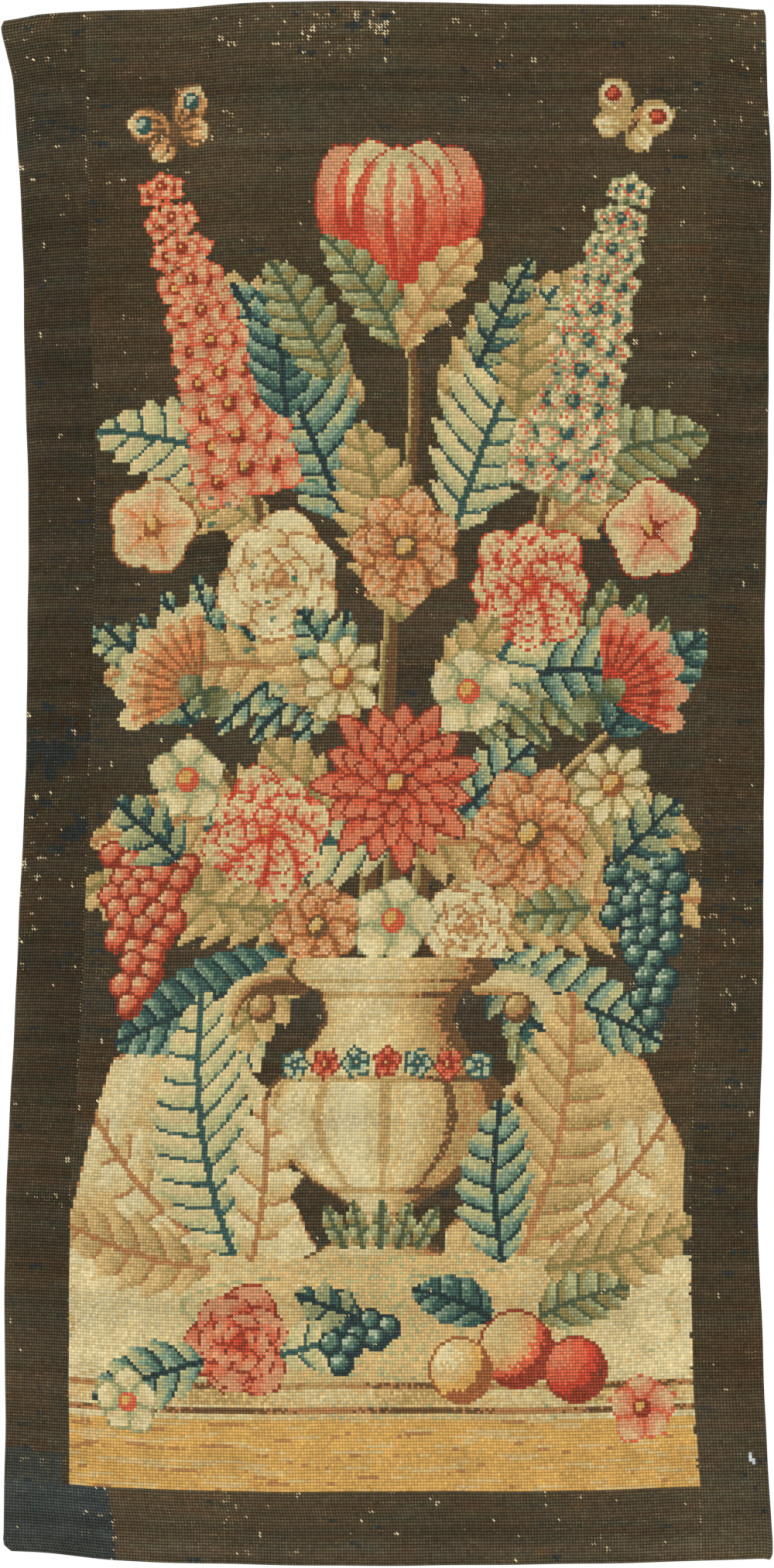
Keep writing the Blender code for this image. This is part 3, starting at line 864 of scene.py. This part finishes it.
def rounded_in(away, rounding):
    """How far the fold's rounding has gone at a distance from an edge, from 0 to 1 at the edge."""
    inward = 1 - (away / rounding).clip(0, 1)
    return 1 - np.sqrt(1 - inward**2)


def wander(across, down):
    """The small unevenness of hand-stitched cloth: sideways, along and off the wall, in mm."""
    aside = 0.30 * np.sin(down / 37 + across / 91) + 0.16 * np.sin(down / 13 + 2)
    along = 0.30 * np.sin(across / 41 - down / 83) + 0.16 * np.sin(across / 15 + 1)
    off = 0.22 * np.sin(across / 7.1 + down / 19) + 0.22 * np.sin(down / 8.3 - across / 23)
    return aside, along, off + 0.12 * np.sin(across / 3.7 - down / 5.1)


def face_colours(mesh, stitches, centres):
    """Gives each face the colours of the four stitches of its block, upper left to lower right."""
    rows, columns = (centres.T // 2 * 2).astype(int)
    for down in (0, 1):
        for aside in (0, 1):
            colours = stitches[rows + down, columns + aside].astype(np.float32)
            layer = mesh.attributes.new(f"stitch_{down}{aside}", "FLOAT_COLOR", "FACE")
            layer.data.foreach_set("color", colours.ravel())


def in_scene(name, data):
    """A new object of the scene."""
    thing = bpy.data.objects.new(name, data)
    bpy.context.scene.collection.objects.link(thing)
    return thing


def pressed(curves, turns):
    """A piece's two opposite curves, with those at seams moved a little into the neighbour."""
    def moved(line, outward):
        return lambda place: line(place) + outward * SEAM_OVERLAP

    pairs = zip(curves, turns, (-1, 1))
    return [moved(line, outward) if turn[0] == SEAM_TURN else line for line, turn, outward in pairs]


def front_and_back(across, down, from_edges, turns):
    """The points of a sheet's front and back in mm, and how far past the turned edges each lies."""
    rounded = [rounded_in(away, turn[1]) for away, turn in zip(from_edges, turns)]
    sunk = np.maximum.reduce(rounded)
    weights = [edge + 1e-9 for edge in rounded]
    shares = sum(weight * turn[2] for weight, turn in zip(weights, turns)) / sum(weights)
    past = np.minimum.reduce([(away - turn[0] - SLACK) / STEP for away, turn in zip(from_edges, turns)])
    thickness = TURNED + (CLOTH - TURNED) * past.clip(0, 1)
    aside, along, off = wander(across, down)
    front_y = -TURNED - stands_off(across, down) + off * (1 - sunk)
    x, z = across + aside, -down - along
    front = np.dstack([x, front_y + TURNED * shares * sunk, z])
    back = np.dstack([x, front_y + thickness - TURNED * (1 - shares) * sunk, z])
    return front, back, past


def corners(grid):
    """The four grid points of each face."""
    return np.dstack([grid[1:, :-1], grid[1:, 1:], grid[:-1, 1:], grid[:-1, :-1]]).reshape(-1, 4)


def closed_mesh(name, front, back):
    """A mesh of two grids joined at their rims, and the grid point at each corner of its faces."""
    at = np.arange(front.size // 3).reshape(front.shape[:2])
    inner = np.s_[1:-1, 1:-1]
    behind = at.copy()
    behind[inner] = at.size + np.arange(at[inner].size).reshape(at[inner].shape)
    points = np.vstack([front.reshape(-1, 3), back[inner].reshape(-1, 3)]) * MM
    faces = np.vstack([corners(at), corners(behind)[:, ::-1]])
    mesh = bpy.data.meshes.new(name)
    mesh.from_pydata(points.tolist(), [], faces.tolist())
    return mesh, np.vstack([corners(at), corners(at)[:, ::-1]])


def sewn_sheet(name, sides, ends, count, size, turns, wool, seed, materials):
    """One piece: a closed thin sheet whose front and back share the stitches' grid."""
    columns, rows = count
    sides, ends = pressed(sides, turns[:2]), pressed(ends, turns[2:])
    u, v = np.meshgrid(grid_lines(columns, size[0], turns[:2]), grid_lines(rows, size[1], turns[2:]))
    places = (u / columns, 1 - u / columns, v / rows, 1 - v / rows)
    from_edges = [share * size[i // 2] for i, share in enumerate(places)]
    across, down = on_panel(*sides, *ends, places[0], places[2])
    front, back, past = front_and_back(across, down, from_edges, turns)
    mesh, at_corners = closed_mesh(name, front, back)
    corner_u, corner_v, corner_past = (values.ravel()[at_corners] for values in (u, v, past))
    mesh.uv_layers.new(name="stitches").data.foreach_set("uv", np.stack([corner_u, corner_v], -1).ravel())

    row_mid, column_mid = np.mgrid[0:rows, 0:columns] + 0.5
    middles = on_panel(*sides, *ends, column_mid / columns, row_mid / rows)
    stitches = stitch_colours(np.random.default_rng(seed), *middles, wool)
    face_colours(mesh, stitches, np.stack([corner_v.mean(1), corner_u.mean(1)], -1))

    for material in materials:
        mesh.materials.append(material)
    is_back = np.arange(len(at_corners)) >= len(at_corners) // 2
    slots = np.where(is_back, np.where(corner_past.mean(1) < 0.1, 2, 1), 0)
    mesh.polygons.foreach_set("material_index", slots)
    mesh.polygons.foreach_set("use_smooth", np.ones(len(at_corners), bool))
    mesh.update()
    return in_scene(name, mesh)


def worked_out(operation):
    """A method that does this operation with a number and the others given."""
    return lambda number, *others: number.math(operation, *others)


class Signal:
    """A number or colour worked out by nodes. Numbers have sums and products like any other."""

    __add__, __sub__, __mul__ = map(worked_out, ("ADD", "SUBTRACT", "MULTIPLY"))
    over, under, larger = map(worked_out, ("GREATER_THAN", "LESS_THAN", "MAXIMUM"))
    absolute, fraction, floor = map(worked_out, ("ABSOLUTE", "FRACT", "FLOOR"))

    def __init__(self, tree, socket):
        self.tree, self.socket = tree, socket

    def math(self, operation, *others):
        return added(self.tree, "ShaderNodeMath", dict(enumerate((self, *others))), operation=operation)

    def clipped(self, factor):
        """The number times a factor, kept from 0 to 1."""
        return added(self.tree, "ShaderNodeMath", {0: self, 1: factor}, operation="MULTIPLY", use_clamp=True)

    def arch(self, half):
        """1 on a middle line, falling in a half round to 0 at this distance from it."""
        ratio = self * (1 / half)
        return (ratio * ratio * -1 + 1).larger(0).math("SQRT")


def feed(tree, inputs, values):
    """Gives a node's inputs their values: numbers and colours, or what other nodes work out."""
    for at, value in values.items():
        if isinstance(value, Signal):
            tree.links.new(value.socket, inputs[at])
        else:
            inputs[at].default_value = value


def added(tree, kind, values, output=0, **settings):
    """What a new node of this kind works out from these values."""
    node = tree.nodes.new(kind)
    for name, setting in settings.items():
        setattr(node, name, setting)
    feed(tree, node.inputs, values)
    return Signal(tree, node.outputs[output])


def mixed(share, one, other, kind="RGBA"):
    """Between two colours or numbers, by a share."""
    first, output = (6, 2) if kind == "RGBA" else (2, 0)
    values = {0: share, first: one, first + 1: other}
    return added(share.tree, "ShaderNodeMix", values, output, data_type=kind)


def numbers_of(vector):
    """The three numbers of a vector or colour."""
    split = added(vector.tree, "ShaderNodeSeparateXYZ", {0: vector}).socket.node
    return tuple(Signal(vector.tree, socket) for socket in split.outputs)


def smooth_noise(x, y):
    place = added(x.tree, "ShaderNodeCombineXYZ", {0: x, 1: y})
    return added(x.tree, "ShaderNodeTexNoise", {"Vector": place, "Scale": 1, "Detail": 1.5})


def chances(x, y):
    """Three numbers by chance, new at each whole number across and down."""
    place = added(x.tree, "ShaderNodeCombineXYZ", {0: x.floor(), 1: y.floor()})
    return numbers_of(added(x.tree, "ShaderNodeTexWhiteNoise", {"Vector": place}, "Color"))


def stitch_place(tree):
    """Where a point is on the stitches' grid, across and down."""
    return numbers_of(added(tree, "ShaderNodeUVMap", {}, uv_map="stitches"))[:2]


def stitch_colour(u, v):
    """The colour of the stitch at a point, and how bare it is worn."""
    odd_column, odd_row = ((place * 0.5).fraction().over(0.5) for place in (u, v))

    def stored(down, aside, output):
        return added(u.tree, "ShaderNodeAttribute", {}, output, attribute_name=f"stitch_{down}{aside}")

    def chosen(output, kind):
        pairs = [[stored(down, aside, output) for aside in (0, 1)] for down in (0, 1)]
        return mixed(odd_row, *(mixed(odd_column, *pair, kind) for pair in pairs), kind)

    return chosen("Color", "RGBA"), chosen("Alpha", "FLOAT")


def lightness(colour):
    return added(colour.tree, "ShaderNodeRGBToBW", {0: colour})


def scaled(colour, factor):
    """A colour made darker or lighter by a number."""
    return added(colour.tree, "ShaderNodeVectorMath", {0: colour, "Scale": factor}, operation="SCALE")


def plain_material(name, **values):
    """A material with these values on its shader, and the shader's inputs."""
    material = bpy.data.materials.new(name)
    material.use_nodes = True
    shader = material.node_tree.nodes["Principled BSDF"].inputs
    feed(material.node_tree, shader, {words.replace("_", " "): value for words, value in values.items()})
    return material, shader


def woollen(name, roughness):
    """A woollen material, its shader's inputs, and where a point is on its stitches, across and down."""
    material, shader = plain_material(name, Roughness=roughness, Specular_IOR_Level=0.05, Sheen_Weight=0.01)
    return material, shader, *stitch_place(material.node_tree)


def dress(shader, colour, height, relief):
    """Colours a shader and shades it as if it stood out by the height times the relief, in metres."""
    bump = added(colour.tree, "ShaderNodeBump", {"Distance": relief, "Strength": 0.7, "Height": height})
    feed(colour.tree, shader, {"Base Color": colour, "Normal": bump})


DIAGONAL = 0.7071
TOP_LEG, UNDER_LEG = 0.32, 0.50  # half a leg's width, in stitches, as are the next ones
REACH = 0.76  # where a leg dives into the canvas, from its middle
# A hole's dark rim is painted shade: the colour is darkened where the height falls towards the hole.
HOLE, HOLE_RIM = 0.04, 0.30  # a corner hole's radius, and how much wider its dark rim is
GROOVE, GROOVE_DEPTH = 0.20, 0.20  # how far the groove between rows reaches, and its depth as a share
RIB = 0.7  # the height at which neighbouring crosses join along a row
DEEPEST, BRIGHTEST = 0.08, 1.62  # the wool's light in the holes and on the legs, 1 being its usual one
DARK_CONTRAST, PALE_LOSS = 1.05, 1.2  # dark wool shows that difference more, and pale wool less
WORN_TAN, WORN_CREAM = (0.38, 0.25, 0.12, 1), (0.92, 0.76, 0.46, 1)


def cross_stitches(name):
    """Wool crosses: the under leg rises to the right and the top leg falls, with a hole at each corner."""
    material, shader, u, v = woollen(name, 0.92)
    colour, bare = stitch_colour(u, v)
    chance, second, third = chances(u, v)
    x, y = u.fraction() - 0.5, v.fraction() - 0.5
    p = (x + y) * DIAGONAL
    q = (x - y) * DIAGONAL + (chance - 0.5) * 0.14
    top = q.arch(TOP_LEG) * (p + (second - 0.5) * 0.10).arch(REACH)
    under = p.arch(UNDER_LEG) * q.arch(REACH) * 0.74
    fibre = smooth_noise((u - v) * 7.0, (u + v) * 1.1) - 0.5
    aside, along = x - x.over(0) + 0.5, y - y.over(0) + 0.5
    rising, falling = (aside - along) * DIAGONAL, (aside + along) * DIAGONAL
    from_corner = (rising * rising * 0.65 + falling * falling * 1.7).math("SQRT")
    filled = (from_corner + fibre * 0.16 - HOLE).clipped(1 / HOLE_RIM)
    rib = y.arch(0.42) * RIB
    ridge = along.absolute().clipped(1 / GROOVE) * GROOVE_DEPTH + (1 - GROOVE_DEPTH)
    height = top.larger(under).larger(rib) * filled * ridge + fibre * 0.14
    # Painted shade and painted highlight: the colour is darkened in the corner holes and the grooves between
    # rows, and lightened on the legs' crowns, by the height the bump also uses.
    shade = height * (BRIGHTEST - DEEPEST) + (third - 0.5) * 0.12 + (DEEPEST - 1)
    contrast = lightness(colour) * -PALE_LOSS + DARK_CONTRAST
    wool = scaled(colour, (shade * contrast + 1).larger(0.05))
    stroke = (q + (third - 0.5) * 0.2).absolute().under(bare * 0.24 + 0.05 + fibre * 0.3)
    stroke = stroke * (p + (second - 0.5) * 0.3).absolute().under(bare * 0.48 + 0.12 + fibre * 0.3)
    stroke = stroke * bare.over(0.05)
    thread = mixed(bare, WORN_TAN, WORN_CREAM)
    dress(shader, mixed(stroke * (bare * 0.25 + 0.75), wool, thread), height, 0.9 * MM)
    return material


def stitch_backs(name):
    """The stitches' reverse: short upright strands in pairs, with the canvas between them."""
    material, shader, u, v = woollen(name, 0.95)
    colour, _ = stitch_colour(u, v)
    chance, second, _ = chances(u, v)
    x, y = u.fraction() - 0.5, v.fraction() - 0.5
    strand = ((x.absolute() - 0.24) + (chance - 0.5) * 0.08).arch(0.19)
    height = strand * (y + (second - 0.5) * 0.2).arch(0.62)
    height = height + (smooth_noise(u * 9.0, v * 1.5) - 0.5) * 0.16
    # Painted shade: the strands' colour is darker at their sides and ends and lighter on their crowns.
    wool = scaled(colour, height * 0.7 + 0.5)
    dress(shader, mixed(height.under(0.16), wool, (0.34, 0.25, 0.13, 1)), height, 0.7 * MM)
    return material


def bare_canvas(name):
    """The turned edge's bare canvas: a plain weave of four threads to a stitch each way."""
    material, shader, u, v = woollen(name, 0.95)
    warp, weft = (((place * 2).fraction() - 0.5).arch(0.40) for place in (u, v))
    height = warp.larger(weft)
    # Painted shade between the threads and painted light on their crowns; the noise varies the canvas's tone
    # from place to place.
    lit = height * (smooth_noise(u * 0.6, v * 0.6) * 0.6 + 0.6)
    dress(shader, mixed(lit, (0.13, 0.085, 0.045, 1), (0.52, 0.40, 0.24, 1)), height, 0.35 * MM)
    return material


BACKS = stitch_backs("stitch_backs")
TURNED_CANVAS = bare_canvas("turned_canvas")
OUTER, SEWN = (HEM, HEM_ROUND, HEM_SINK), (SEAM_TURN, SEAM_ROUND, SEAM_SINK)

# A piece: its name, node and slot, the curves at its sides, above and below, its stitches across and down,
# its usual width and height in mm, what turns back at its left, right, top and bottom, its wool and seed
PIECES = (
    ("stitched_centre", "centre_panel", "centre_wool", (left_seam, right_seam), (top_edge, low_seam),
     (ACROSS, DOWN), (527, 1266), (SEWN, SEWN, OUTER, SEWN), centre_wool, 21),
    ("stitched_left", "left_strip", "ground_wool", (left_edge, left_seam), (top_edge, low_seam),
     (26, 476), (64, 1266), (OUTER, SEWN, OUTER, SEWN), left_wool, 22),
    ("stitched_right", "right_strip", "ground_wool", (right_seam, right_edge), (top_edge, bottom_edge),
     (22, 504), (52, 1328), (SEWN, OUTER, OUTER, OUTER), right_wool, 23),
    ("stitched_patch", "corner_patch", "patch_wool", (left_edge, patch_seam), (low_seam, bottom_edge),
     (36, 24), (91, 64), (OUTER, SEWN, SEWN, OUTER), patch_wool, 24),
    ("stitched_bottom", "bottom_strip", "ground_wool", (patch_seam, right_seam), (low_seam, bottom_edge),
     (200, 24), (502, 64), (SEWN, SEWN, SEWN, OUTER), bottom_wool, 25),
)

fronts = {slot: cross_stitches(slot + "_stitches") for slot in ("centre_wool", "ground_wool", "patch_wool")}
for name, node, slot, *rest in PIECES:
    piece = sewn_sheet(name, *rest, (fronts[slot], BACKS, TURNED_CANVAS))
    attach(piece, "root")
    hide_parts(node)


def white_surroundings(glow):
    """Even light of this strength from all sides, which the camera sees as plain white."""
    world = bpy.data.worlds.new("white")
    world.use_nodes = True
    seen = added(world.node_tree, "ShaderNodeLightPath", {}, "Is Camera Ray")
    background = world.node_tree.nodes["Background"].inputs
    feed(world.node_tree, background, {0: (1, 1, 1, 1), 1: seen * (1 - glow) + glow})
    bpy.context.scene.world = world
    bpy.context.scene.view_settings.view_transform = "Standard"


def lamp(name, strength, softness, place):
    """A distant light that shines from a place towards the origin."""
    light = bpy.data.lights.new(name, "SUN")
    light.energy = strength
    light.angle = radians(softness)
    holder = in_scene(name, light)
    holder.location = place
    holder.rotation_euler = (-holder.location).to_track_quat("-Z", "Y").to_euler()


FLOOR_DOWN = -2100 * MM  # the panel's top hangs this high above it
FLOOR_REACH = 4.5  # from the middle to each side, in metres


def pale_floor():
    """A plain floor below the panel and out of the picture."""
    sides = (-FLOOR_REACH, FLOOR_REACH)
    corners = [(x, y, FLOOR_DOWN) for y in sides for x in sides]
    mesh = bpy.data.meshes.new("floor")
    mesh.from_pydata(corners, [], [(0, 1, 3, 2)])
    mesh.materials.append(plain_material("pale_floor", Base_Color=(0.88, 0.88, 0.87, 1), Roughness=0.8)[0])
    ground_plane = in_scene("floor", mesh)


FRAME_HEIGHT = 1336.5 * MM  # what the picture shows, with the panel filling it
FRAME_MIDDLE = -667.6 * MM
FILM = 36.0
LENS = 110.0
CLOTH_FRONT = -6 * MM


def face_on_camera():
    """A long lens straight in front of the panel."""
    camera = in_scene("camera", bpy.data.cameras.new("camera"))
    camera.data.lens = LENS
    camera.data.sensor_width = FILM
    camera.location = (0, CLOTH_FRONT - FRAME_HEIGHT * LENS / FILM, FRAME_MIDDLE)
    camera.rotation_euler = (radians(90), 0, 0)
    bpy.context.scene.camera = camera


white_surroundings(glow=0.62)
lamp("key", strength=1.6, softness=12, place=(-2.2, -2.6, 1.6))
pale_floor()
face_on_camera()
